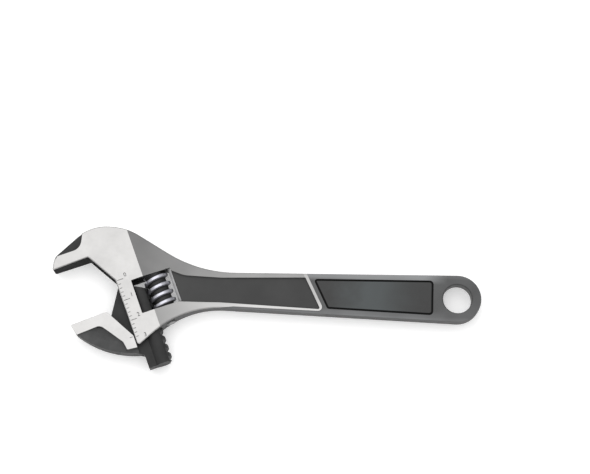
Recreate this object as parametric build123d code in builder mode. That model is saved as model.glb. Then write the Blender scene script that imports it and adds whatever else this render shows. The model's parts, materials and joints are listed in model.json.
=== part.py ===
"""Adjustable wrench, 254 mm (10 in): forged body, sliding jaw with its rack, worm, worm pin and spring.

The wrench lies flat, with its handle along X and its jaws towards -X. The origin is the centre of
the hanging hole, on the wrench's mid-plane, and both faces are alike. The jaws lie at an angle to
the handle, so what is near them is placed by u and v: u runs along the jaw faces towards the
handle, v along the jaw's slide towards closed, and both are nought where the line of the fixed
jaw's face meets the front edge of the head.
"""

from build123d import *
from math import cos, pi, radians, sin, tan
import os

# Overall sizes, in millimetres and degrees
overall_length = 254.0
head_thickness = 15.5
jaw_tip_thickness = 11.6
moving_jaw_thickness = 15.1
handle_thickness = 9.0
jaw_angle = 22.0

# Handle
end_radius = 14.0
handle_taper = 1.35
edge_rounding = 0.8
hang_hole_radius = 8.5
hang_hole_rounding = 0.9
recess_depth = 1.1
rear_drop = 0.4
bead_half_width = 0.85
bead_slant = 26.6
bead_x = -84.5
panel_margin = 3.2
groove_width = 1.2
groove_depth = 0.8

# Jaws
jaw_reach = 33.4
throat_depth = 10.8
throat_angle = 60.0
opening = 35.0
closed_gap = 0.2
face_band = 6.4
heel_v = -60.5
scoop_depth = 2.2
scoop_draft = 20.0
scoop_rounding = 5.0
fixed_scoop_rounding = 7.0
jaw_side_gap = 0.5

# Rack, worm, pin and spring
pitch = 5.2
worm_radius = 7.6
thread_depth = 1.95
thread_crest = 1.7
flank_angle = 20.0
mesh_gap = 0.25
rack_radius = 5.7
rack_gap = 0.25
rack_top = -29.2
rack_bottom = -74.5
rack_teeth = 8
web_thickness = 7.8
web_top = -23.2
web_top_u = 4.7
web_front_u = -0.3
web_root_u = -12.0
web_root_v = -42.0
worm_u = 22.5
crest_v = -36.9  # where a crest of the worm's thread faces the rack
thread_root_rounding = 0.4
worm_end_chamfer = 0.9
pin_radius = 2.0
pin_head_radius = 2.9
pin_head_height = 2.4
pin_bottom = -53.2
pin_end = -12.5
pin_slot_width = 0.9
pin_slot_depth = 1.1
running_gap = 0.06
spring_wire_radius = 0.35
spring_radius = 2.8
spring_turns = 5
spring_bore_radius = 3.4
spring_bore_depth = 5.6

# The window through the head that the worm sits in
window_left = 8.6
window_right = 31.0
window_top = -21.9
window_bottom = -43.0
window_end_gap = 0.2
window_bevel = 1.6
window_bevel_height = 2.3

# Worked out from the sizes above
half_head = head_thickness / 2
half_handle = handle_thickness / 2
closing_travel = opening - closed_gap
bore_rise = closing_travel + 0.5
throat_drop = throat_depth * tan(radians(throat_angle))
worm_top = window_top - window_end_gap
worm_bottom = window_bottom + window_end_gap
thread_root_radius = worm_radius - thread_depth
rack_tip_u = worm_u - thread_root_radius - mesh_gap
rack_root_u = worm_u - worm_radius - mesh_gap
rack_u = rack_tip_u - rack_radius
half_web = web_thickness / 2
crease_u = rack_u + 5.1
neck_end_u = 52.0
neck_run = neck_end_u - crease_u
neck_fall = half_head - half_handle
neck_radius = (neck_run * neck_run + neck_fall * neck_fall) / (2 * neck_fall)
beyond = 300.0  # longer than the wrench, for what is cut right across it

jaw_x = Vector(cos(radians(jaw_angle)), sin(radians(jaw_angle)), 0)
jaw_y = Vector(-sin(radians(jaw_angle)), cos(radians(jaw_angle)), 0)
jaw_origin = Vector(end_radius - overall_length + jaw_reach * jaw_x.X, 20.3, 0)
jaw_plane = Plane(origin=jaw_origin, x_dir=jaw_x, z_dir=(0, 0, 1))
side_plane = Plane(origin=jaw_origin, x_dir=jaw_x, z_dir=-jaw_y)  # its y is up, out of the faces


def jaw_point(u, v):
    """A point given by u and v, as x and y in the wrench's mid-plane."""
    point = jaw_origin + jaw_x * u + jaw_y * v
    return (point.X, point.Y)


def across_slide(u, v):
    """A plane square to the slide, with its x towards the front of the head and its y up."""
    return Plane(origin=jaw_origin + jaw_x * u + jaw_y * v, x_dir=-jaw_x, z_dir=jaw_y)


def handle_edge(x):
    """Half the handle's width at x: its edges run into the round end."""
    return end_radius / cos(radians(handle_taper)) + x * tan(radians(handle_taper))


def bead_at(y, offset):
    """The x of a line along the slanted bead, at y, moved by offset across the bead."""
    return bead_x - y * tan(radians(bead_slant)) + offset / cos(radians(bead_slant))


def web_top_v(u):
    """The v of the rack's slanted top, at u."""
    return web_top - (web_top - rack_top) * (u - web_top_u) / (rack_tip_u - web_top_u)


def is_upright(edge):
    """Whether an edge runs straight up, square to the wrench's faces."""
    run = edge @ 1 - edge @ 0
    return abs(run.X) < 0.01 and abs(run.Y) < 0.01


def is_crease(edge):
    """Whether an edge crosses a face along the slide's direction, where the thickness changes."""
    return abs((edge % 0.5).dot(jaw_y)) > 0.999 and abs(edge.center().Z) > jaw_tip_thickness / 4


def round_corners(radii):
    """Rounds the corner of the sketch in hand that is nearest to each given point."""
    for point, radius in radii:
        fillet(vertices().sort_by_distance(Vector(*point))[0], radius=radius)


def side_view(head, tip, lowered):
    """The wrench's thickness along u, with head and tip as thicknesses, and its faces lowered."""
    taper_start = -13.0
    handle_z = half_handle - lowered
    head_z = head / 2 - lowered
    tip_z = tip / 2 - lowered
    with BuildSketch(side_plane) as view:
        with BuildLine():
            Polyline((neck_end_u, handle_z), (beyond, handle_z), (beyond, 0), (-jaw_reach - 1, 0),
                     (-jaw_reach - 1, tip_z), (taper_start, head_z), (crease_u, head_z))
            RadiusArc((crease_u, head_z), (neck_end_u, handle_z), -neck_radius)
        make_face()
        mirror(about=Plane.XZ)
    return view.sketch


def make_blank():
    """The forging before it is machined: its outline, as thick as its side view."""
    tip = jaw_point(-jaw_reach, 0)
    jaw_root = jaw_point(-throat_depth, 0)
    throat_foot = jaw_point(0, -throat_drop)
    heel = jaw_point(0, heel_v)
    under_neck = (-160.5, -handle_edge(-160.5))
    over_neck = (-153.1, handle_edge(-153.1))
    crown = (-197.5, 35.3)
    brow = (-219.1, 35.9)
    snout = (-239.4, 15.5)
    end_x = -end_radius * sin(radians(handle_taper))
    end_y = end_radius * cos(radians(handle_taper))
    with BuildPart() as blank:
        with BuildSketch():
            with BuildLine():
                Polyline(tip, jaw_root, throat_foot, heel, under_neck, (end_x, -end_y), (end_x, end_y),
                         over_neck, crown, brow, snout, close=True)
            make_face()
            Circle(end_radius)
            round_corners([(jaw_root, 1.0), (heel, 1.5), (under_neck, 55), (over_neck, 80),
                           (crown, 36), (brow, 26), (snout, 8), (tip, 0.8)])
        extrude(amount=half_head, both=True)
        extrude(side_view(head_thickness, jaw_tip_thickness, 0), amount=beyond, both=True,
                mode=Mode.INTERSECT)
    return blank.part


def make_recess():
    """What is taken out of both faces of the neck and front handle, down to the recess's floor."""
    end_y = handle_edge(bead_x) - 2.6
    with BuildPart() as recess:
        with BuildSketch():
            with BuildLine():
                Polyline(jaw_point(30, -21.4), (-162, 8.1), (-140, 7.5),
                         (bead_at(end_y, -bead_half_width), end_y),
                         (bead_at(-end_y, -bead_half_width), -end_y), (-140, -7.5), (-160, -7.9),
                         jaw_point(30, -42.7), close=True)
            make_face()
            round_corners([((-162, 8.1), 14), ((-160, -7.9), 14)])
            round_corners([((bead_at(end_y, 0), end_y), 0.8), ((bead_at(-end_y, 0), -end_y), 0.8)])
        extrude(amount=half_head, both=True)
        extrude(side_view(head_thickness, jaw_tip_thickness, recess_depth), amount=beyond, both=True,
                mode=Mode.SUBTRACT)
    return recess.part


def make_groove():
    """The groove round the rear panel, cut into both faces."""
    floor = half_handle - rear_drop - groove_depth
    left_x = bead_at(0, bead_half_width + 2.2)
    right_x = -end_radius - 0.3
    top_left = handle_edge(left_x) - panel_margin
    top_right = handle_edge(right_x) - panel_margin
    slant = tan(radians(bead_slant))
    corners = [(left_x - top_left * slant, top_left), (right_x, top_right), (right_x, -top_right),
               (left_x + top_left * slant, -top_left)]
    with BuildPart() as groove:
        with BuildSketch(Plane.XY.offset(floor)):
            with BuildLine():
                Polyline(*corners, close=True)
            make_face()
            round_corners([(corners[0], 1.6), (corners[1], 2.4), (corners[2], 2.4), (corners[3], 1.6)])
            offset(amount=-groove_width, kind=Kind.INTERSECTION, mode=Mode.SUBTRACT)
        extrude(amount=half_head)
        mirror(about=Plane.XY)
    return groove.part


def make_scoop(corners, radii, jaw_thickness):
    """A drafted hollow in both faces of a jaw, outside its bright band."""
    with BuildPart() as scoop:
        with BuildSketch(jaw_plane.offset(jaw_thickness / 2 + 0.5)):
            with BuildLine():
                Polyline(*corners, close=True)
            make_face()
            round_corners(radii)
        extrude(amount=-scoop_depth - 0.5, taper=scoop_draft)
        mirror(about=Plane.XY)
    return scoop.part


def above_rack(rise):
    """What lies above the rack's slanted top, raised by rise along the slide."""
    right_u = rack_tip_u + 2
    with BuildPart() as above:
        with BuildSketch(jaw_plane):
            with BuildLine():
                Polyline((web_top_u, web_top + rise), (right_u, web_top_v(right_u) + rise), (right_u, beyond),
                         (web_top_u, beyond), close=True)
            make_face()
        extrude(amount=half_head, both=True)
    return above.part


def make_bore():
    """The space that the rack needs in the head, up to where closing the jaw takes it."""
    with BuildPart() as bore:
        with BuildSketch(across_slide(rack_u, web_top + bore_rise)):
            Circle(rack_radius + rack_gap)
        extrude(amount=-beyond)
        add(above_rack(bore_rise), mode=Mode.SUBTRACT)
    return bore.part


def make_body():
    """Handle, neck, head and fixed jaw in one forging."""
    slot_gap = 0.3
    fixed_scoop = make_scoop([(-7.4, 19), (-13.4, face_band), (-45, face_band), (-45, 19)],
                             [((-13.4, face_band), fixed_scoop_rounding)], head_thickness)
    blank = make_blank()
    groove = make_groove()
    recess = make_recess()
    bore = make_bore()
    with BuildPart() as body:
        add(blank)
        rims = edges().filter_by(lambda edge: not is_upright(edge) and not is_crease(edge))
        fillet(rims, radius=edge_rounding)
        # The coated rear of the handle lies a little lower than the bright rim and bead
        low_y = -handle_edge(bead_x) + 1.5
        with BuildSketch(Plane.XY.offset(half_handle - rear_drop)):
            with BuildLine():
                Polyline((bead_at(20, bead_half_width), 20), (bead_at(low_y, bead_half_width), low_y),
                         (-132, low_y + 0.9), (-146, low_y - 0.9), (-146, -20), (20, -20), (20, 20),
                         close=True)
            make_face()
            round_corners([((bead_at(low_y, bead_half_width), low_y), 2.4)])
        rear = extrude(amount=half_head, mode=Mode.SUBTRACT)
        mirror(rear, about=Plane.XY, mode=Mode.SUBTRACT)
        add(groove, mode=Mode.SUBTRACT)
        add(recess, mode=Mode.SUBTRACT)
        add(fixed_scoop, mode=Mode.SUBTRACT)
        # Hanging hole
        with BuildSketch():
            Circle(hang_hole_radius)
        extrude(amount=half_head, both=True, mode=Mode.SUBTRACT)
        rims = edges().filter_by(GeomType.CIRCLE)
        rims = rims.filter_by(lambda edge: abs(edge.radius - hang_hole_radius) < 0.01)
        fillet(rims, radius=hang_hole_rounding)
        # Window for the worm, bevelled on the handle's side
        with BuildSketch(jaw_plane):
            with BuildLine():
                Polyline((window_left, window_top), (window_right, window_top),
                         (window_right, window_bottom), (window_left, window_bottom), close=True)
            make_face()
            fillet(vertices(), radius=0.6)
        extrude(amount=half_head, both=True, mode=Mode.SUBTRACT)
        bevel_u = window_right + window_bevel
        bevel_z = half_handle + (neck_end_u - bevel_u) ** 2 / (2 * neck_radius) - recess_depth
        with BuildSketch(Plane(origin=jaw_origin + jaw_y * window_top, x_dir=jaw_x, z_dir=-jaw_y)):
            with BuildLine():
                Polyline((window_right - 1, bevel_z - window_bevel_height),
                         (window_right, bevel_z - window_bevel_height), (bevel_u, bevel_z),
                         (bevel_u, half_head), (window_right - 1, half_head), close=True)
            make_face()
            mirror(about=Plane.XZ)
        extrude(amount=window_top - window_bottom, mode=Mode.SUBTRACT)
        # Bore for the rack and slot for the web, both open at the lower edge of the head
        add(bore, mode=Mode.SUBTRACT)
        with BuildSketch(jaw_plane):
            with BuildLine():
                Polyline((web_root_u, web_root_v + bore_rise), (web_front_u, web_top + bore_rise),
                         (web_top_u, web_top + bore_rise), (rack_u, web_top_v(rack_u) + bore_rise),
                         (rack_u, -beyond), (web_root_u, -beyond), close=True)
            make_face()
        extrude(amount=half_web + slot_gap, both=True, mode=Mode.SUBTRACT)
        # Hole for the worm's pin, with a counterbore for its head
        with BuildSketch(across_slide(worm_u, pin_end + 0.3)):
            Circle(pin_radius + running_gap)
        extrude(amount=beyond, dir=-jaw_y, mode=Mode.SUBTRACT)
        with BuildSketch(across_slide(worm_u, pin_bottom + pin_head_height + running_gap)):
            Circle(pin_head_radius + running_gap)
        extrude(amount=beyond, dir=-jaw_y, mode=Mode.SUBTRACT)
    return body


def make_movable_jaw():
    """Jaw, web and rack in one forging."""
    scoop = make_scoop([(-45, -opening - face_band + 0.4), (-16.8, -opening - face_band + 0.4), (-7.0, -55.4),
                        (-6.3, -60.3), (2, -61.2), (2, -80), (-45, -80)],
                       [((-16.8, -opening - face_band), scoop_rounding), ((-7.0, -55.4), 2.0),
                        ((-6.3, -60.3), 0.6)],
                       moving_jaw_thickness)
    slant = pitch / (2 * pi * (worm_radius - thread_depth / 2))
    flank = tan(radians(flank_angle))
    root_half = (thread_crest - 2 * mesh_gap * flank) / 2 + mesh_gap
    over_tip = rack_radius
    tip_half = root_half + over_tip * flank
    with BuildPart() as movable_jaw:
        with BuildSketch(jaw_plane):
            with BuildLine():
                outline = Polyline((-jaw_reach, -opening), (-throat_depth, -opening),
                                   (-jaw_side_gap, -53.9), (-jaw_side_gap, -64.3))
                ThreePointArc(outline @ 1, (-21.5, -52.9), (-32.0, -40.7))
                Line((-32.0, -40.7), outline @ 0)
            make_face()
            round_corners([((-jaw_reach, -opening), 0.8), ((-throat_depth, -opening), 1.8),
                           ((-32.0, -40.7), 3.0)])
        extrude(amount=moving_jaw_thickness / 2, both=True)
        extrude(side_view(moving_jaw_thickness, jaw_tip_thickness, 0), amount=beyond, both=True,
                mode=Mode.INTERSECT)
        add(scoop, mode=Mode.SUBTRACT)
        with BuildSketch(jaw_plane):
            with BuildLine():
                Polyline((web_root_u, web_root_v), (web_front_u, web_top), (web_top_u, web_top),
                         (rack_u, web_top_v(rack_u)), (rack_u, rack_bottom), (2.0, rack_bottom),
                         (2.0, -66.0), (-8, -60.2), close=True)
            make_face()
            round_corners([((web_front_u, web_top), 1.0), ((2.0, -66.0), 1.5)])
        extrude(amount=half_web, both=True)
        with BuildSketch(across_slide(rack_u, rack_bottom)):
            Circle(rack_radius)
        extrude(amount=web_top - rack_bottom)
        add(above_rack(0), mode=Mode.SUBTRACT)
        # Gaps between the rack's teeth, slanted as the worm's thread is
        for tooth in range(rack_teeth + 1):
            gap_v = crest_v + pitch - tooth * pitch
            with BuildSketch(jaw_plane):
                with BuildLine():
                    Polyline((rack_root_u, gap_v - root_half), (rack_root_u, gap_v + root_half),
                             (rack_root_u + over_tip, gap_v + tip_half),
                             (rack_root_u + over_tip, gap_v - tip_half), close=True)
                make_face()
            extrude(amount=rack_radius + 2, dir=Vector(0, 0, 1) + jaw_y * slant, both=True,
                    mode=Mode.SUBTRACT)
    return movable_jaw


def make_worm():
    """The thumb screw, upright on the origin: right-handed thread, bored, and counterbored for the spring."""
    length = worm_top - worm_bottom
    flank = tan(radians(flank_angle))
    overcut = 0.5
    half_floor = (pitch - thread_crest) / 2 - thread_depth * flank
    half_mouth = (pitch - thread_crest) / 2 + overcut * flank
    with BuildPart() as worm:
        with BuildSketch(Plane.XZ):
            Rectangle(worm_radius, length, align=(Align.MIN, Align.MIN))
            chamfer(vertices().group_by(Axis.X)[-1], length=worm_end_chamfer)
        revolve(axis=Axis.Z)
        # The groove between the turns of the thread
        with BuildLine():
            turns = Helix(pitch=pitch, height=length + 3 * pitch, radius=thread_root_radius,
                          center=(0, 0, crest_v - worm_bottom - 2.5 * pitch))
        with BuildSketch(Plane(origin=turns @ 0, x_dir=(1, 0, 0), z_dir=turns % 0)):
            with BuildLine():
                Polyline((0, -half_floor), (0, half_floor), (thread_depth + overcut, half_mouth),
                         (thread_depth + overcut, -half_mouth), close=True)
            make_face()
            fillet(vertices().group_by(Axis.X)[0], radius=thread_root_rounding)
        sweep(path=turns, is_frenet=True, mode=Mode.SUBTRACT)
        Cylinder(pin_radius + running_gap, length, align=(Align.CENTER, Align.CENTER, Align.MIN),
                 mode=Mode.SUBTRACT)
        with Locations((0, 0, length)):
            Cylinder(spring_bore_radius, spring_bore_depth, align=(Align.CENTER, Align.CENTER, Align.MAX),
                     mode=Mode.SUBTRACT)
    return worm.part


def make_worm_pin():
    """The pin that the worm turns on, upright on the origin: slotted head, shank and pointed end."""
    length = pin_end - pin_bottom
    with BuildPart() as pin:
        with BuildSketch(Plane.XZ):
            with BuildLine():
                Polyline((0, 0), (pin_head_radius - 0.4, 0), (pin_head_radius, 0.4),
                         (pin_head_radius, pin_head_height), (pin_radius, pin_head_height),
                         (pin_radius, length - 0.6), (pin_radius - 0.6, length), (0, length), close=True)
            make_face()
        revolve(axis=Axis.Z)
        Box(2 * pin_head_radius, pin_slot_width, 2 * pin_slot_depth, mode=Mode.SUBTRACT)
    return pin.part


def make_worm_spring():
    """The coil spring round the pin, upright on the origin."""
    height = spring_bore_depth - 2 * spring_wire_radius - 2 * running_gap
    with BuildPart() as spring:
        with BuildLine():
            coil = Helix(pitch=height / spring_turns, height=height, radius=spring_radius,
                         center=(0, 0, spring_wire_radius))
        with BuildSketch(Plane(origin=coil @ 0, x_dir=(1, 0, 0), z_dir=coil % 0)):
            Circle(spring_wire_radius)
        sweep(path=coil, is_frenet=True)
    return spring.part


upright_worm = make_worm()
upright_pin = make_worm_pin()
upright_spring = make_worm_spring()

body = make_body()
movable_jaw = make_movable_jaw()
with BuildPart() as worm:
    with Locations(across_slide(worm_u, worm_bottom)):
        add(upright_worm)
with BuildPart() as worm_pin:
    with Locations(across_slide(worm_u, pin_bottom)):
        add(upright_pin)
with BuildPart() as worm_spring:
    with Locations(across_slide(worm_u, worm_top - spring_bore_depth + running_gap)):
        add(upright_spring)

body.part.label = "body"
movable_jaw.part.label = "movable_jaw"
worm.part.label = "worm"
worm_pin.part.label = "worm_pin"
worm_spring.part.label = "worm_spring"

os.makedirs("parts", exist_ok=True)
export_step(body.part, "parts/body.step")
export_step(movable_jaw.part, "parts/movable_jaw.step")
export_step(worm.part, "parts/worm.step")
export_step(worm_pin.part, "parts/worm_pin.step")
export_step(worm_spring.part, "parts/worm_spring.step")
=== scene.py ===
"""The looks of an adjustable wrench: polished head, satin neck, dark pressed handle, bright worm.

Places are in the frame of the CAD model, in metres. Near the jaws they are given by u, along the
jaw faces towards the handle, and v, along the jaw's slide towards closed, 0 at the fixed face. The
rules that pick a face's finish, and the patterns in the finishes, count in millimetres.
"""

import bmesh
import bpy
import json
from math import pi, radians, tan
from mathutils import Matrix, Vector


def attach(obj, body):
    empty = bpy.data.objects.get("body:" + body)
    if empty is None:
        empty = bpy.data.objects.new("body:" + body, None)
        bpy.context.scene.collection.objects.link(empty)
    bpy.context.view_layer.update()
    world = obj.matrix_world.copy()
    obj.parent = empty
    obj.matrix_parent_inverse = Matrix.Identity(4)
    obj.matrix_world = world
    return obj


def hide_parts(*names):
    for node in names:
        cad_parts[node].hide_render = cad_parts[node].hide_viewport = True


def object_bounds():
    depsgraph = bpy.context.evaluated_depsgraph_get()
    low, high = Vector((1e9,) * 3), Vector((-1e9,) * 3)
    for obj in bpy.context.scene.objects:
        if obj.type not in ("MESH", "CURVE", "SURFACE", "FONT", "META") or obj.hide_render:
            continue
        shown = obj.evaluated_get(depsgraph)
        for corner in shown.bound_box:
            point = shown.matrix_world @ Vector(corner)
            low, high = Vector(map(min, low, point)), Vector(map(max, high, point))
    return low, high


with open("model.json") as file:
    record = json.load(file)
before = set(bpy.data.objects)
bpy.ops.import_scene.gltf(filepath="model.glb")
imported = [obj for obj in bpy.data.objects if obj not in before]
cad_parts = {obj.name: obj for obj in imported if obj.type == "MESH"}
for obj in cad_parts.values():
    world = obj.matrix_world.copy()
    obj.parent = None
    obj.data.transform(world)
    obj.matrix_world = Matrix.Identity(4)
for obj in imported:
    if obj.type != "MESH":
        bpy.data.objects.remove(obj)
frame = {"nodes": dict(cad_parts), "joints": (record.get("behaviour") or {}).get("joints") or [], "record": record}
cad_low, cad_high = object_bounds()
scene = bpy.context.scene
MM = 0.001

# ---- Places, from the frame ----------------------------------------------------------------------

mounts = {mount["name"]: mount for mount in frame["record"]["mounts"]}
joints = {joint["name"]: joint for joint in frame["joints"]}
hang_hole = Vector(mounts["hang_hole"]["pos_m"])
slide = Vector(joints["jaw_slide"]["axis"])
along_faces = Vector((slide.y, -slide.x, 0))
FACE_MOUNT_U = -20 * MM
jaw_origin = Vector(mounts["fixed_jaw_face"]["pos_m"]) - along_faces * FACE_MOUNT_U
jaw_angle = slide.angle(Vector((0, 1, 0)))
worm_centre = Vector(joints["worm_turn"]["pos_m"])
head_half = cad_high.z

# The slanted bead crosses the handle's middle line at BEAD_X, and the handle widens by its taper
BEAD_X = -84.5
BEAD_SLOPE = tan(radians(26.6))
HANDLE_HALF = 14
HANDLE_TAPER = tan(radians(1.35))


def to_jaw(point):
    """A point as u, v and z."""
    away = point - jaw_origin
    return Vector((away.dot(along_faces), away.dot(slide), point.z))


def from_jaw(u, v, z=0.0):
    """The point at u, v and z."""
    return jaw_origin + along_faces * u + slide * v + Vector((0, 0, z))


# The forging seen from the side: half thicknesses, and where its flat, curved and tapered parts end
HEAD_HALF = 7.75
MOVING_JAW_HALF = 7.55
HANDLE_HALF_THICK = 4.5
TIP_HALF = 5.8
TIP_LENGTH = 21.4
TAPER_U = -13.0
CREASE_U = 16.0
NECK_END_U = 52.0
NECK_RADIUS = 201.0
RECESS_DEPTH = 1.1


def side_height(u, head=HEAD_HALF):
    """Half the forging's thickness at u, in millimetres, before anything is pressed into it."""
    if u < TAPER_U:
        return head + (u - TAPER_U) * (head - TIP_HALF) / TIP_LENGTH
    if u < CREASE_U:
        return head
    if u < NECK_END_U:
        return HANDLE_HALF_THICK + (NECK_END_U - u) ** 2 / (2 * NECK_RADIUS)
    return HANDLE_HALF_THICK


def side_slope(u, middle_u, head=HEAD_HALF):
    """How steeply the forging's top rises with u, at u, on the stretch that holds middle_u."""
    if middle_u < TAPER_U:
        return (head - TIP_HALF) / TIP_LENGTH
    if CREASE_U < middle_u < NECK_END_U:
        return -(NECK_END_U - u) / NECK_RADIUS
    return 0.0


# ---- Node trees ----------------------------------------------------------------------------------


class Wire:
    """A socket's value in a tree's maths: + - * / and the like on it add Math nodes."""

    def __init__(self, tree, socket):
        self.tree = tree
        self.socket = socket

    def maths(self, operation, first, second=None, third=None, clamped=False):
        given = enumerate((first, second, third))
        values = {number: value for number, value in given if value is not None}
        settings = {"operation": operation, "use_clamp": clamped}
        return self.tree.add("ShaderNodeMath", settings, values)

    def __add__(self, other):
        return self.maths("ADD", self, other)

    def __radd__(self, other):
        return self.maths("ADD", other, self)

    def __sub__(self, other):
        return self.maths("SUBTRACT", self, other)

    def __rsub__(self, other):
        return self.maths("SUBTRACT", other, self)

    def __mul__(self, other):
        return self.maths("MULTIPLY", self, other)

    def __rmul__(self, other):
        return self.maths("MULTIPLY", other, self)

    def __truediv__(self, other):
        return self.maths("DIVIDE", self, other)

    def __rtruediv__(self, other):
        return self.maths("DIVIDE", other, self)

    def __pow__(self, other):
        return self.maths("POWER", self, other)

    def __mod__(self, other):
        return self.maths("MODULO", self, other)

    def __lt__(self, other):
        return self.maths("LESS_THAN", self, other)

    def __abs__(self):
        return self.maths("ABSOLUTE", self)

    def ramp(self, low, high):
        """0 at low, 1 at high, straight between and level outside. High may be the smaller."""
        return self.maths("MULTIPLY", self - low, 1 / (high - low), clamped=True)

    def least(self, other, rounding=0.0):
        """The smaller of the two, with the corner between them rounded."""
        return self.maths("SMOOTH_MIN", self, other, rounding)

    def most(self, other, rounding=0.0):
        """The larger of the two, with the corner between them rounded."""
        return self.maths("SMOOTH_MAX", self, other, rounding)


class Tree:
    """A node tree that is being built."""

    def __init__(self, tree):
        self.nodes = tree.nodes
        self.links = tree.links

    def add(self, kind, settings, values, output=0):
        """A node of a kind: its settings, then a value or a link for each of its sockets."""
        node = self.nodes.new(kind)
        for name, setting in settings.items():
            if name == "stops":
                for stop, (position, colour) in zip(node.color_ramp.elements, setting):
                    stop.position = position
                    stop.color = (*colour, 1)
            else:
                setattr(node, name, setting)
        for name, value in values.items():
            if isinstance(value, Wire):
                self.links.new(value.socket, node.inputs[name])
            else:
                node.inputs[name].default_value = value
        return Wire(self, node.outputs[output])


class Finish(Tree):
    """A material being made: its tree, its shader and the places that its patterns are drawn by."""

    def __init__(self, name):
        self.material = bpy.data.materials.new(name)
        self.material.use_nodes = True
        super().__init__(self.material.node_tree)
        self.shader = self.nodes["Principled BSDF"]
        self.place = self.add("ShaderNodeTexCoord", {}, {}, "Object")

    def grained(self, stretch):
        """Places in the jaws' own directions, stretched for a grain."""
        turn = {"Vector": self.place, "Rotation": (0, 0, -jaw_angle)}
        turned = self.add("ShaderNodeMapping", {}, turn)
        return self.add("ShaderNodeMapping", {}, {"Vector": turned, "Scale": stretch})

    def noise(self, scale, detail=3.0, rough=0.5, place=None):
        values = {"Vector": place or self.place, "Scale": scale, "Detail": detail,
                  "Roughness": rough}
        return self.add("ShaderNodeTexNoise", {}, values)

    def cloud(self, scale):
        """Broad soft patches, from 0 to 1."""
        return self.noise(scale).ramp(0.3, 0.7)

    def blend(self, amount, low, high):
        """A colour between two, by amount."""
        values = {"Factor": amount,
                  6: low if isinstance(low, Wire) else (*low, 1),
                  7: high if isinstance(high, Wire) else (*high, 1)}
        return self.add("ShaderNodeMix", {"data_type": "RGBA"}, values, 2)

    def axis(self, letter):
        """The place's X, Y or Z, in millimetres."""
        return self.add("ShaderNodeSeparateXYZ", {}, {0: self.place}, letter) / MM

    def along(self, direction, start):
        """How far the place is from start along a direction, in millimetres."""
        away = self.add("ShaderNodeVectorMath", {"operation": "DOT_PRODUCT"},
                        {0: self.place, 1: direction}, "Value")
        return (away - start.dot(direction)) / MM

    def past_bead(self):
        """How far the place is behind the slanted bead, in millimetres."""
        return self.axis("X") + self.axis("Y") * BEAD_SLOPE - BEAD_X

    def finish(self, colour, roughness, metallic, relief=None, depth=0.0, rounding=0.0,
               specular=0.5):
        """Sets the shader. Relief is a height from 0 to 1, and depth is its size in metres."""
        given = {"Base Color": colour, "Roughness": roughness, "Metallic": metallic}
        for name, value in given.items():
            if isinstance(value, Wire):
                self.links.new(value.socket, self.shader.inputs[name])
            else:
                self.shader.inputs[name].default_value = value
        self.shader.inputs["Specular IOR Level"].default_value = specular
        if relief is not None:
            values = {"Height": relief, "Distance": depth, "Strength": 1.0}
            if rounding:
                values["Normal"] = self.add("ShaderNodeBevel", {"samples": 6}, {"Radius": rounding})
            bump = self.add("ShaderNodeBump", {}, values)
            self.links.new(bump.socket, self.shader.inputs["Normal"])
        return self.material


class Maker(Tree):
    """A Geometry Nodes tree that makes a piece, with its sizes as named inputs."""

    def __init__(self, name, sizes):
        self.name = name
        self.group = bpy.data.node_groups.new(name, "GeometryNodeTree")
        super().__init__(self.group)
        sockets = self.group.interface
        sockets.new_socket("Geometry", in_out="OUTPUT", socket_type="NodeSocketGeometry")
        self.inputs = {}
        for label, value in sizes.items():
            kind = "NodeSocketInt" if isinstance(value, int) else "NodeSocketFloat"
            socket = sockets.new_socket(label, in_out="INPUT", socket_type=kind)
            self.inputs[socket.identifier] = value
        entry = self.nodes.new("NodeGroupInput")
        self.sizes = {label: Wire(self, entry.outputs[label]) for label in sizes}

    def vector(self, x, y, z):
        return self.add("ShaderNodeCombineXYZ", {}, {"X": x, "Y": y, "Z": z})

    def made(self, geometry, finish, origin, x_way, z_way):
        """Ends the tree, and stands what it makes on origin, as plain mesh, turned those ways."""
        whole = self.add("GeometryNodeRealizeInstances", {}, {"Geometry": geometry})
        painted = self.add("GeometryNodeSetMaterial", {},
                           {"Geometry": whole, "Material": finishes[finish]})
        way_out = self.nodes.new("NodeGroupOutput")
        self.links.new(painted.socket, way_out.inputs[0])
        piece = new_piece(self.name, bpy.data.meshes.new(self.name))
        modifier = piece.modifiers.new(self.name, "NODES")
        modifier.node_group = self.group
        for identifier, value in self.inputs.items():
            modifier[identifier] = value
        made_plain(piece)
        turn = Matrix((x_way, z_way.cross(x_way), z_way)).transposed().to_4x4()
        piece.data.transform(Matrix.Translation(origin) @ turn)
        return piece


# ---- Finishes ------------------------------------------------------------------------------------


def grey(value, warm=0.0):
    """A grey that leans to warm, or to cool where warm is below nought."""
    return (value * (1 + warm), value, value * (1 - warm))


def polished_steel(name, dark, light):
    """The ground and polished flats of the head and the jaws."""
    steel = Finish(name)
    grain = steel.noise(900, 4, 0.6, steel.grained((0.12, 1, 1)))
    fine = steel.noise(3200, 2, 0.5, steel.grained((0.06, 1, 1)))
    smudge = steel.noise(190, 4, 0.6)
    shade = steel.cloud(55) * 0.45 + smudge.ramp(0.35, 0.7) * 0.3 + grain * 0.25
    colour = steel.blend(shade, grey(dark, 0.012), grey(light, 0.012))
    rough = 0.27 + grain * 0.14 + smudge.ramp(0.5, 0.75) * 0.08
    relief = grain * 0.6 + fine * 0.4
    return steel.finish(colour, rough, 0.95, relief, 0.006 * MM, 0.15 * MM)


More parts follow.
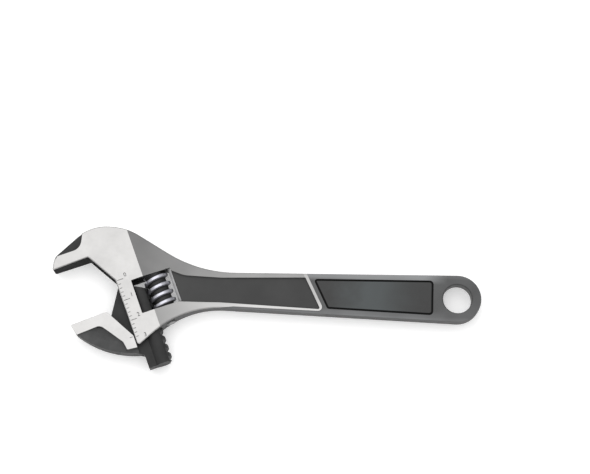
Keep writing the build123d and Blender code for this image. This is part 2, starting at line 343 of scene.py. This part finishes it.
def satin_steel():
    """The blasted neck: painted light makes it greyest by the head and bright along the lower rim; bright along
    the slanted bead.
    """
    steel = Finish("satin_steel")
    # Painted light: the neck is greyest by the head and lightens towards the handle and towards its lower rim; the
    # slanted bead is polished and bright of itself
    along = steel.axis("X").ramp(-185, -128)
    lower = steel.axis("Y").ramp(3, -9)
    bead = steel.past_bead().ramp(-1.6, -1.0)
    blast = steel.noise(2600, 3, 0.6)
    lit = along * 0.28 + lower * 0.19 + along * lower * 0.36
    shade = 0.04 + lit.most(bead * 0.56) + (steel.cloud(60) + blast - 1.0) * 0.08
    colour = steel.blend(shade, grey(0.155, 0.004), grey(0.50, 0.01))
    rough = 0.46 - shade * 0.14 + blast * 0.10
    return steel.finish(colour, rough, 0.85, blast, 0.012 * MM, 0.15 * MM)


def recess_black():
    """The matt black field pressed into the front of the handle."""
    paint = Finish("recess_black")
    grain = paint.noise(2400, 4, 0.65)
    colour = paint.blend(paint.cloud(45) * 0.5 + grain * 0.5, grey(0.020), grey(0.045))
    return paint.finish(colour, 0.60 + grain * 0.14, 0.0, grain, 0.02 * MM, 0.12 * MM)


def border_phosphate():
    """The dark phosphate coat of the rear handle, lighter beside the panel, most along its upper side, and towards
    the edges.
    """
    coat = Finish("border_phosphate")
    grain = coat.noise(1900, 4, 0.6)
    across = abs(coat.axis("Y"))
    beside_panel = across.ramp(8.0, 10.4) * coat.axis("X").ramp(-6, -20)
    strip = beside_panel * (0.55 + 0.95 * coat.axis("Y").ramp(-5, 5))
    amount = coat.cloud(38) * 0.2 + grain * 0.2 + strip * 0.45 + across.ramp(11.2, 12.8) * 0.15
    colour = coat.blend(amount, grey(0.042), grey(0.235, -0.02))
    return coat.finish(colour, 0.44 + grain * 0.14, 0.35, grain, 0.016 * MM, 0.2 * MM)


def panel_phosphate():
    """The coat of the rear panel, with a painted reflection that makes its middle greyer and a little cooler."""
    coat = Finish("panel_phosphate")
    grain = coat.noise(1900, 4, 0.6)
    cloud = coat.noise(70, 3, 0.5)
    # Painted reflection: a greyer, cooler patch round the panel's middle, with a wobbling edge
    painted_sheen = abs(coat.axis("X") + 50 + (cloud - 0.5) * 30).ramp(26, 4)
    colour = coat.blend(grain, grey(0.018), grey(0.042))
    colour = coat.blend(painted_sheen * 0.8 + cloud.ramp(0.4, 0.7) * 0.15, colour, (0.062, 0.071, 0.073))
    return coat.finish(colour, 0.46 + grain * 0.14, 0.25, grain, 0.016 * MM, 0.2 * MM)


def groove_black():
    """The floor and walls of the grooves, painted near black as shade, darker than the coat beside them."""
    coat = Finish("groove_black")
    grain = coat.noise(1500, 3, 0.6)
    # Painted shade: the grooves' colour is near black
    colour = coat.blend(grain, grey(0.004), grey(0.012))
    return coat.finish(colour, 0.80 + grain * 0.1, 0.0, grain, 0.010 * MM, specular=0.15)


def forged_steel(name, dark, light, metallic):
    """Scale-dark steel of the movable jaw's scoops; its darker copy is painted shade in the fixed scoop, the
    window, the bore and the slot, and on the web and the rack.
    """
    steel = Finish(name)
    lumps = steel.noise(420, 4, 0.6)
    grain = steel.noise(1800, 4, 0.65)
    amount = steel.cloud(80) * 0.4 + lumps * 0.3 + grain * 0.3
    colour = steel.blend(amount, grey(dark), grey(light, -0.01))
    rough = 0.50 + grain * 0.18
    relief = lumps * 0.7 + grain * 0.3
    return steel.finish(colour, rough, metallic, relief, 0.05 * MM, 0.2 * MM, 0.3)


def forged_wall():
    """The forging's sides: blasted and dark, lighter at the crown, and coated behind the bead."""
    steel = Finish("forged_wall")
    lumps = steel.noise(520, 4, 0.6)
    grain = steel.noise(2200, 3, 0.6)
    upper = steel.axis("Y").ramp(24, 34)
    amount = lumps * 0.25 + grain * 0.15 + upper * 0.6
    bare = steel.blend(amount, grey(0.020), grey(0.32))
    coat = steel.blend(grain, grey(0.045), grey(0.085))
    colour = steel.blend(steel.past_bead().ramp(0.7, 1.0), bare, coat)
    rough = 0.50 + grain * 0.14
    relief = lumps * 0.6 + grain * 0.4
    return steel.finish(colour, rough, 0.6, relief, 0.035 * MM, 0.2 * MM)


def milled_face():
    """The milled jaw faces and throats, painted near black as shade, with cutter lines square to the slide."""
    steel = Finish("milled_face")
    lines = steel.noise(1500, 3, 0.5, steel.grained((1, 0.05, 0.05)))
    cloud = steel.noise(120, 3, 0.5)
    # Painted shade: the milled faces are painted near black
    colour = steel.blend(lines * 0.5 + cloud * 0.5, grey(0.008), grey(0.035))
    return steel.finish(colour, 0.60 + lines * 0.2, 0.0, lines, 0.014 * MM, 0.12 * MM, 0.05)


def bevelled_steel():
    """The bright bevel along the worm's window."""
    steel = Finish("bevelled_steel")
    lines = steel.noise(1500, 3, 0.5, steel.grained((0.05, 1, 1)))
    colour = steel.blend(lines, grey(0.62), grey(0.85))
    return steel.finish(colour, 0.46 + lines * 0.12, 0.3, lines, 0.010 * MM, 0.1 * MM)


def worm_steel():
    """The worm: bright on its crests, with painted shade making its grooves near black."""
    steel = Finish("worm_steel")
    out = steel.along(along_faces, worm_centre)
    up = steel.axis("Z")
    radius = (out * out + up * up) ** 0.5
    grain = steel.noise(1400, 3, 0.6, steel.grained((1, 0.15, 1)))
    mottle = steel.noise(300, 3, 0.6)
    # Painted shade: below the crests' radius the worm is painted near black, with a wobbling edge
    crest = (radius + mottle * 0.6 - 0.3).ramp(6.2, 7.5)
    end_face = abs(steel.along(slide, worm_centre)).ramp(10.2, 10.34) * 0.6
    amount = crest.most(end_face)
    colour = steel.blend(amount, grey(0.008), (0.50, 0.50, 0.55))
    rough = 0.50 - amount * 0.24 + grain * 0.10
    return steel.finish(colour, rough, amount * 0.9 + 0.05, grain, 0.012 * MM)


def turned_steel(name, light):
    """Turned or drawn steel, with rings round the worm's axis."""
    steel = Finish(name)
    rings = steel.noise(2200, 2, 0.5, steel.grained((0.05, 1, 0.05)))
    mottle = steel.noise(260, 3, 0.6)
    colour = steel.blend(rings * 0.4 + mottle * 0.6, grey(light * 0.5), grey(light))
    return steel.finish(colour, 0.32 + rings * 0.12, 0.95, rings, 0.008 * MM, 0.1 * MM)


def scale_ink():
    """Dark filling of the engraved scale, worn thin in places."""
    ink = Finish("scale_ink")
    worn = ink.noise(900, 4, 0.6)
    colour = ink.blend(worn.ramp(0.42, 0.62), grey(0.03), grey(0.22))
    return ink.finish(colour, 0.5 + worn * 0.15, 0.5, worn, 0.01 * MM)


finishes = {
    "polished": polished_steel("polished_head", 0.36, 0.49),
    "jaw_polished": polished_steel("polished_jaw", 0.40, 0.53),
    "satin": satin_steel(),
    "recess": recess_black(),
    "border": border_phosphate(),
    "panel": panel_phosphate(),
    "groove": groove_black(),
    "forged": forged_steel("forged_scoop", 0.026, 0.105, 0.35),
    # The darker copy is painted shade for the hollows and the parts that run in them
    "dark": forged_steel("forged_painted_shade", 0.010, 0.045, 0.15),
    "wall": forged_wall(),
    "milled": milled_face(),
    "bevel": bevelled_steel(),
    "worm": worm_steel(),
    "pin": turned_steel("pin_steel", 0.42),
    "spring": turned_steel("spring_steel", 0.5),
    "ink": scale_ink(),
}


# ---- Mesh helpers --------------------------------------------------------------------------------

WELD = 0.002 * MM
FLAT_Z = 0.9995
ON_LEVEL = 0.03


def new_piece(name, mesh):
    """A piece at the origin with a mesh."""
    piece = bpy.data.objects.new(name, mesh)
    scene.collection.objects.link(piece)
    return piece


def copy_of_node(name):
    """A CAD node's mesh as a new piece, with its loose triangles joined up."""
    mesh = frame["nodes"][name].data.copy()
    mesh.materials.clear()
    shape = bmesh.new()
    shape.from_mesh(mesh)
    bmesh.ops.remove_doubles(shape, verts=shape.verts, dist=WELD)
    bmesh.ops.dissolve_degenerate(shape, edges=shape.edges, dist=WELD / 2)
    shape.to_mesh(mesh)
    shape.free()
    while mesh.color_attributes:
        mesh.color_attributes.remove(mesh.color_attributes[0])
    return new_piece(name + "_shape", mesh)


def made_plain(piece):
    """Turns a piece's modifiers into plain mesh."""
    bpy.context.view_layer.update()
    evaluated = piece.evaluated_get(bpy.context.evaluated_depsgraph_get())
    mesh = bpy.data.meshes.new_from_object(evaluated)
    piece.modifiers.clear()
    piece.data = mesh


def give_finishes(piece, finish_of):
    """Gives each face the finish that finish_of names from its middle and its normal."""
    mesh = piece.data
    names = []
    indices = []
    for face in mesh.polygons:
        name = finish_of(face.center, face.normal)
        if name not in names:
            names.append(name)
        indices.append(names.index(name))
    mesh.materials.clear()
    for name in names:
        mesh.materials.append(finishes[name])
    mesh.polygons.foreach_set("material_index", indices)


def smooth(piece, angle=28):
    """Shades a piece smooth across its gentle edges, with flats kept flat."""
    mesh = piece.data
    mesh.polygons.foreach_set("use_smooth", [True] * len(mesh.polygons))
    mesh.set_sharp_from_angle(angle=radians(angle))
    weighting = piece.modifiers.new("flats_kept_flat", "WEIGHTED_NORMAL")
    weighting.weight = 100
    weighting.keep_sharp = True
    made_plain(piece)


def follow_forging(piece, head=HEAD_HALF):
    """Gives the forging's tops and the recess's floor the true normals of its side view."""
    mesh = piece.data
    normals = [corner.vector.copy() for corner in mesh.corner_normals]
    for face in mesh.polygons:
        if abs(face.normal.z) < 0.95:
            continue
        sense = 1 if face.normal.z > 0 else -1
        middle_u = to_jaw(face.center).x / MM
        places = [mesh.vertices[index].co for index in face.vertices]
        depths = [side_height(to_jaw(place).x / MM, head) - abs(place.z) / MM for place in places]
        on_top = all(abs(depth) < ON_LEVEL for depth in depths)
        on_recess = all(abs(depth - RECESS_DEPTH) < ON_LEVEL for depth in depths)
        if on_top or on_recess:
            for corner, place in zip(face.loop_indices, places):
                slope = side_slope(to_jaw(place).x / MM, middle_u, head)
                up = Vector((0, 0, sense)) - along_faces * slope
                normals[corner] = up.normalized()
        elif abs(face.normal.z) > FLAT_Z:
            for corner in face.loop_indices:
                normals[corner] = Vector((0, 0, sense))
    mesh.normals_split_custom_set(normals)


def in_place_of(piece, node, body):
    """Hides the CAD node that a piece stands for, and puts the piece on the body it rides on."""
    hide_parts(node)
    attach(piece, body)


def cut_marks(piece, cutters):
    """Engraves a piece with the cutters, which leave their own finish in the cuts."""
    for cutter in cutters:
        cut = piece.modifiers.new("engraving", "BOOLEAN")
        cut.operation = "DIFFERENCE"
        cut.solver = "EXACT"
        cut.material_mode = "TRANSFER"
        cut.object = cutter
    made_plain(piece)
    for cutter in cutters:
        bpy.data.objects.remove(cutter)


# ---- The scale -----------------------------------------------------------------------------------

TICK_COUNT = 15
TICKS_A_NUMBER = 5
MARK_STEP = 2.54 * MM
MARK_DEPTH = 0.14 * MM
MARK_WIDTH = 0.3 * MM
ZERO_V = -19.4 * MM
TICK_U = 0.9 * MM
NUMBER_U = 6.3 * MM
NUMBER_SIZE = 3.4 * MM


def tick_cutter(count, short, extra, place):
    """A row of ticks down the slide from a place, every fifth of them longer."""
    ticks = Maker("scale_ticks", {
        "Count": count, "Step": MARK_STEP, "Short tick": short, "Long tick's extra": extra,
        "Width": MARK_WIDTH, "Depth": 2 * MARK_DEPTH})
    size = ticks.sizes
    row = ticks.add("GeometryNodeMeshLine", {"mode": "OFFSET"},
                    {"Count": size["Count"], "Offset": ticks.vector(0.0, 0.0 - size["Step"], 0.0)})
    is_long = (ticks.add("GeometryNodeInputIndex", {}, {}) % float(TICKS_A_NUMBER)) < 0.5
    block = ticks.add("GeometryNodeMeshCube", {}, {"Size": (1, 1, 1)})
    half_on = {"Geometry": block, "Translation": (0.5, 0, 0)}
    block = ticks.add("GeometryNodeTransform", {}, half_on)
    length = size["Short tick"] + size["Long tick's extra"] * is_long
    placed = ticks.add("GeometryNodeInstanceOnPoints", {},
                       {"Points": row, "Instance": block,
                        "Scale": ticks.vector(length, size["Width"], size["Depth"])})
    return ticks.made(placed, "ink", place, along_faces, Vector((0, 0, 1)))


def number_cutter(words, place):
    """A plain number standing on a place, read from the handle's side."""
    curve = bpy.data.curves.new("scale_number", "FONT")
    curve.body = words
    curve.size = NUMBER_SIZE
    curve.align_x = "CENTER"
    curve.align_y = "CENTER"
    curve.extrude = MARK_DEPTH
    letters = bpy.data.objects.new("scale_number", curve)
    scene.collection.objects.link(letters)
    bpy.context.view_layer.update()
    evaluated = letters.evaluated_get(bpy.context.evaluated_depsgraph_get())
    mesh = bpy.data.meshes.new_from_object(evaluated)
    bpy.data.objects.remove(letters)
    mesh.transform(Matrix.Translation(place) @ Matrix.Rotation(jaw_angle, 4, "Z"))
    mesh.materials.clear()
    mesh.materials.append(finishes["ink"])
    return new_piece("scale_number", mesh)


def scale_cutters():
    """A plain scale of the jaws' opening beside the slide, with a long tick each half inch."""
    zero = from_jaw(TICK_U, ZERO_V, head_half)
    cutters = [tick_cutter(TICK_COUNT, 1.5 * MM, 2.2 * MM, zero)]
    for number in range(TICK_COUNT // TICKS_A_NUMBER + 1):
        v = ZERO_V - (number * TICKS_A_NUMBER - 0.75) * MARK_STEP
        cutters.append(number_cutter(str(number), from_jaw(NUMBER_U, v, head_half)))
    return cutters


# ---- The body ------------------------------------------------------------------------------------

# A face whose normal leans less than this out of the wrench's plane is a side
STEEP = 0.35
# How near to an edge still counts as on it
NEAR = 0.2

# The head: the fixed scoop's outline, the worm's window, the bore and slot of the rack
SCOOP_V = 6.2
SCOOP_CORNER = (-13.4, 6.4)
SCOOP_SIDE = (6.0, 12.6)
SCOOP_SIDE_LENGTH = 13.96
SCOOP_FLOOR_Z = 5.5
JAW_FACES_V = (-60, 0.4)
WINDOW_U = (8.4, 31.2)
WINDOW_V = (-43.2, -21.7)
BEVEL_U = (30.9, 32.7)
BEVEL_TILT = (STEEP, 0.8)
BORE_MIDDLE_U = 10.9
BORE_RADIUS = 6.1
SLOT_HALF = 4.4
RACK_U = (0, 17)
RACK_TOP_V = -20
RACK_Z = 6.5

# The handle: the recess, the coated strip on the lower rim, and the panel with its groove
HANDLE_X = -150
RECESS_SIDE_U = 31
RECESS_FLOOR_U = 30
RIM_WIDTH = 1.5
ROUND_END_X = -6
COAT_BEHIND_BEAD = 0.8
STRIP_X = -147
STRIP_Y = -7
STRIP_Z = (3, 4.12)
GROOVE_BEHIND_BEAD = 2.4
GROOVE_IN_EDGE = 3.2
GROOVE_END_X = -14.3
GROOVE_WIDTH = 1.0
PANEL_Z = 3.9
GROOVE_TOP_Z = 4.09


def between(value, limits):
    """Whether a value lies between two limits."""
    return limits[0] < value < limits[1]


def handle_finish(x, y, z, past_bead, edge):
    """The finish of a face behind the bead, where the handle is coated."""
    inside = min(past_bead - GROOVE_BEHIND_BEAD, edge - GROOVE_IN_EDGE - abs(y), GROOVE_END_X - x)
    if inside > GROOVE_WIDTH and z > PANEL_Z:
        return "panel"
    # The groove's floor and walls take the groove finish, painted near black as shade
    if inside > -NEAR and z < GROOVE_TOP_Z:
        return "groove"
    return "border"


def side_finish(u, v, z, normal, in_rim):
    """The finish of one of the head's or the neck's sides."""
    faces_gap = normal.dot(slide) < -0.2 or normal.dot(along_faces) < -0.3
    # The jaw faces and throats take the milled finish, painted near black as shade
    if u < NEAR and between(v, JAW_FACES_V) and faces_gap:
        return "milled"
    if u > RECESS_SIDE_U and in_rim:
        return "recess"
    # Painted shade: the bore's walls take the darker forged finish
    if between(u, RACK_U) and v < RACK_TOP_V and z < RACK_Z and is_bore(u, z):
        return "dark"
    return "wall"


def body_finish(place, normal):
    """The finish of one of the body's faces, from where it lies and the way it looks."""
    u, v, z = to_jaw(place) / MM
    z = abs(z)
    x, y = place.x / MM, place.y / MM
    tilt = abs(normal.z)
    level = side_height(u)
    past_bead = x - (BEAD_X - y * BEAD_SLOPE)
    edge = HANDLE_HALF + x * HANDLE_TAPER
    if between(u, BEVEL_U) and between(v, WINDOW_V) and between(tilt, BEVEL_TILT):
        return "bevel"
    # Painted shade: the window's walls take the darker forged finish
    if between(u, WINDOW_U) and between(v, WINDOW_V) and z < level - 0.1:
        return "dark"
    at_round_end = x > ROUND_END_X and place.length > (HANDLE_HALF - 0.5) * MM
    if tilt < STEEP and x > HANDLE_X and (abs(y) > edge - NEAR or at_round_end):
        return "wall"
    on_strip = x > STRIP_X and y < STRIP_Y and between(z, STRIP_Z) and tilt >= STEEP
    if (x > HANDLE_X and past_bead > COAT_BEHIND_BEAD) or on_strip:
        return handle_finish(x, y, z, past_bead, edge)
    # Painted shade: the fixed scoop's floor and walls take the darker forged finish
    if in_fixed_scoop(u, v) and SCOOP_FLOOR_Z < z < level - 0.02 and tilt > 0.3:
        return "dark"
    if tilt < STEEP:
        return side_finish(u, v, z, normal, abs(y) < edge - RIM_WIDTH)
    if u > RECESS_FLOOR_U and z < level - 0.7:
        return "recess"
    # Painted shade: the bore and the slot take the darker forged finish
    if z < level - 0.9 and u < CREASE_U:
        return "dark" if is_bore(u, z) else "wall"
    if u > CREASE_U - 0.05:
        return "satin"
    return "polished"


def in_fixed_scoop(u, v):
    """Whether a place lies within the outline of the fixed jaw's scoop."""
    across = (u - SCOOP_CORNER[0]) * SCOOP_SIDE[1] - (v - SCOOP_CORNER[1]) * SCOOP_SIDE[0]
    return v > SCOOP_V and across / SCOOP_SIDE_LENGTH < NEAR


def is_bore(u, z):
    """Whether a place lies on the wall of the rack's bore or of the web's slot."""
    return (u - BORE_MIDDLE_U) ** 2 + z * z < BORE_RADIUS ** 2 or z < SLOT_HALF


body_piece = copy_of_node("body")
give_finishes(body_piece, body_finish)
cut_marks(body_piece, scale_cutters())
smooth(body_piece)
follow_forging(body_piece)
in_place_of(body_piece, "body", "body")


# ---- The movable jaw -----------------------------------------------------------------------------

MOVING_FACE_V = -35.6
MOVING_FACE_U = -9
THROAT_V = -54
BAND_DEPTH = 0.35
WEB_HALF = 4.0
WEB_V = -60
WEB_U = -0.4
INDEX_U = -2.9 * MM
INDEX_V = -54.4 * MM


def jaw_finish(place, normal):
    """The finish of one of the movable jaw's faces, from where it lies and the way it looks."""
    u, v, z = to_jaw(place) / MM
    z = abs(z)
    tilt = abs(normal.z)
    level = side_height(u, MOVING_JAW_HALF)
    # The moving jaw's face takes the milled finish, painted near black as shade
    if normal.dot(slide) > 0.7 and v > MOVING_FACE_V and u < MOVING_FACE_U:
        return "milled"
    if tilt > STEEP and z > level - BAND_DEPTH and u < 0:
        return "jaw_polished"
    faces_throat = normal.dot(along_faces) > 0.3 and tilt < STEEP
    # The throat takes the milled finish, painted near black as shade
    if faces_throat and u < 0 and v > THROAT_V and z > WEB_HALF:
        return "milled"
    # Painted shade: the rack and the web take the darker forged finish
    if u > WEB_U or (z < WEB_HALF and v > WEB_V):
        return "dark"
    return "forged"


jaw_piece = copy_of_node("movable_jaw")
give_finishes(jaw_piece, jaw_finish)
index_place = from_jaw(INDEX_U, INDEX_V, MOVING_JAW_HALF * MM)
cut_marks(jaw_piece, [tick_cutter(1, 0.9 * MM, 0.9 * MM, index_place)])
smooth(jaw_piece)
follow_forging(jaw_piece, MOVING_JAW_HALF)
in_place_of(jaw_piece, "movable_jaw", "jaw")


# ---- The worm, its pin and its spring ------------------------------------------------------------

WORM_LENGTH = 20.7 * MM
CREST_V = -36.9 * MM
SPRING_BORE_DEPTH = 5.6 * MM
WIRE_RADIUS = 0.35 * MM
SPRING_GAP = 0.06 * MM
THREAD_ROWS = 220
worm_v = (worm_centre - jaw_origin).dot(slide) - WORM_LENGTH / 2
worm_base = worm_centre - slide * (WORM_LENGTH / 2)


def make_worm():
    """The worm: a rounded screw thread round a bored barrel, with a counterbore for the spring."""
    worm = Maker("worm_thread", {
        "Columns": 97, "Length": WORM_LENGTH, "Pitch": 5.2 * MM, "Crest radius": 7.6 * MM,
        "Thread depth": 1.95 * MM, "Half crest": 0.85 * MM, "Flank run": 0.71 * MM,
        "First crest": CREST_V - worm_v, "End chamfer": 0.9 * MM, "Bore radius": 2.06 * MM,
        "Spring bore radius": 3.4 * MM, "Spring bore depth": SPRING_BORE_DEPTH,
        "Crest rounding": 0.45})
    size = worm.sizes
    grid = worm.add("GeometryNodeMeshGrid", {}, {
        "Size X": 1.0, "Size Y": 1.0, "Vertices X": size["Columns"],
        "Vertices Y": THREAD_ROWS + 6})
    place = worm.add("GeometryNodeInputPosition", {}, {})
    turn = (worm.add("ShaderNodeSeparateXYZ", {}, {0: place}, "X") + 0.5) * (2 * pi)
    row = (worm.add("ShaderNodeSeparateXYZ", {}, {0: place}, "Y") + 0.5) * (THREAD_ROWS + 5.0)
    # The rows go up the thread, in across the top, down both bores and out across the bottom
    rise = row.ramp(0, THREAD_ROWS) * size["Length"]
    down_spring_bore = row.ramp(THREAD_ROWS + 1, THREAD_ROWS + 2) * size["Spring bore depth"]
    below_spring = size["Length"] - size["Spring bore depth"]
    down_bore = row.ramp(THREAD_ROWS + 3, THREAD_ROWS + 4) * below_spring
    height = rise - down_spring_bore - down_bore
    turns = (height - size["First crest"]) / size["Pitch"] - turn / (2 * pi)
    # The added turns keep the remainder's dividend above nought; the half puts a crest at nought
    from_crest = abs((turns + 100.5) % 1.0 - 0.5) * size["Pitch"]
    flank = (size["Half crest"] + size["Flank run"] - from_crest) / size["Flank run"]
    ridge = flank.least(1.0, size["Crest rounding"]).most(0.0, 0.25)
    thread = size["Crest radius"] - size["Thread depth"] * (1.0 - ridge)
    from_end = height.least(size["Length"] - height)
    outside = thread.least(size["Crest radius"] - size["End chamfer"] + from_end)
    step_in = size["Spring bore radius"] - size["Bore radius"]
    inside = size["Spring bore radius"] - row.ramp(THREAD_ROWS + 2, THREAD_ROWS + 3) * step_in
    goes_in = row.ramp(THREAD_ROWS, THREAD_ROWS + 1)
    is_inside = goes_in - row.ramp(THREAD_ROWS + 4, THREAD_ROWS + 5)
    radius = outside + (inside - outside) * is_inside
    across = radius * turn.maths("COSINE", turn)
    spot = worm.vector(across, radius * turn.maths("SINE", turn), height)
    placed = worm.add("GeometryNodeSetPosition", {}, {"Geometry": grid, "Position": spot})
    merged = worm.add("GeometryNodeMergeByDistance", {}, {"Geometry": placed, "Distance": WELD})
    return worm.made(merged, "worm", worm_base, -along_faces, slide)


def make_spring():
    """The coil spring in the worm's counterbore."""
    spring = Maker("coil_spring", {"Turns": 5.0, "Radius": 2.8 * MM, "Height": 4.78 * MM,
                                   "Wire radius": WIRE_RADIUS})
    size = spring.sizes
    coil = spring.add("GeometryNodeCurveSpiral", {}, {
        "Resolution": 40, "Rotations": size["Turns"], "Start Radius": size["Radius"],
        "End Radius": size["Radius"], "Height": size["Height"]})
    section = spring.add("GeometryNodeCurvePrimitiveCircle", {},
                         {"Resolution": 12, "Radius": size["Wire radius"]})
    wire = spring.add("GeometryNodeCurveToMesh", {},
                      {"Curve": coil, "Profile Curve": section, "Fill Caps": True})
    base = worm_base + slide * (WORM_LENGTH - SPRING_BORE_DEPTH + SPRING_GAP + WIRE_RADIUS)
    return spring.made(wire, "spring", base, -along_faces, slide)


worm_piece = make_worm()
smooth(worm_piece, 50)
in_place_of(worm_piece, "worm", "worm")

spring_piece = make_spring()
smooth(spring_piece, 50)
in_place_of(spring_piece, "worm_spring", "body")

pin_piece = copy_of_node("worm_pin")
give_finishes(pin_piece, lambda place, normal: "pin")
smooth(pin_piece)
in_place_of(pin_piece, "worm_pin", "body")


# ---- Floor, light and camera ---------------------------------------------------------------------

FLOOR_HALF = 3.0
FLOOR_GAP = 0.02 * MM
FLOOR_GLOW = 0.3
TOP_LIGHT_PLACE = Vector((-0.25, 0.5, 1.0))
TOP_LIGHT_SIZE = 1.4
TOP_LIGHT_POWER = 6
HORIZON = (0.35, 0.35, 0.35)
ZENITH = (1, 1, 1)
CAMERA_FROM_HOLE = Vector((-0.08870, -0.19644, 0.89581))
CAMERA_TILT = radians(14.5)
CAMERA_SPIN = radians(2.13)
CAMERA_LENS = 94.33


def make_floor(middle):
    """A plain pale floor just under the wrench, softly lit from within."""
    shape = bmesh.new()
    under = Matrix.Translation((middle.x, middle.y, cad_low.z - FLOOR_GAP))
    bmesh.ops.create_grid(shape, x_segments=1, y_segments=1, size=FLOOR_HALF, matrix=under)
    mesh = bpy.data.meshes.new("floor")
    shape.to_mesh(mesh)
    shape.free()
    floor = new_piece("floor", mesh)
    paper = Finish("floor_paper")
    paper.shader.inputs["Emission Color"].default_value = (1, 1, 1, 1)
    paper.shader.inputs["Emission Strength"].default_value = FLOOR_GLOW
    colour = paper.blend(paper.noise(3, 2, 0.5), grey(0.90), grey(0.92))
    mesh.materials.append(paper.finish(colour, 0.9, 0.0))


def make_top_light(middle):
    """A square soft box over the wrench, facing it."""
    lamp = bpy.data.lights.new("top_light", "AREA")
    lamp.size = TOP_LIGHT_SIZE
    lamp.energy = TOP_LIGHT_POWER
    light = bpy.data.objects.new("top_light", lamp)
    light.location = middle + TOP_LIGHT_PLACE
    light.rotation_euler = (-TOP_LIGHT_PLACE).to_track_quat("-Z", "Y").to_euler()
    scene.collection.objects.link(light)


def make_studio():
    """Soft light from all round, dimmer towards the horizon."""
    world = bpy.data.worlds.new("studio")
    world.use_nodes = True
    sky = Tree(world.node_tree)
    direction = sky.add("ShaderNodeTexCoord", {}, {}, "Generated")
    height = sky.add("ShaderNodeSeparateXYZ", {}, {0: direction}, "Z")
    stops = [(0.0, HORIZON), (0.75, ZENITH)]
    shade = sky.add("ShaderNodeValToRGB", {"stops": stops}, {0: height})
    backdrop = sky.nodes["Background"]
    sky.links.new(shade.socket, backdrop.inputs["Color"])
    backdrop.inputs["Strength"].default_value = 1.0
    scene.world = world
    scene.view_settings.view_transform = "Standard"


def make_camera():
    """The camera, over the handle and tilted towards the head."""
    lens = bpy.data.cameras.new("camera")
    lens.lens = CAMERA_LENS
    lens.sensor_width = 36.0
    lens.clip_start = 0.05
    camera = bpy.data.objects.new("camera", lens)
    camera.location = hang_hole + CAMERA_FROM_HOLE
    camera.rotation_euler = (CAMERA_TILT, 0, CAMERA_SPIN)
    scene.collection.objects.link(camera)
    scene.camera = camera


cad_middle = (cad_low + cad_high) / 2
make_floor(cad_middle)
make_top_light(cad_middle)
make_studio()
make_camera()

bpy.context.view_layer.update()
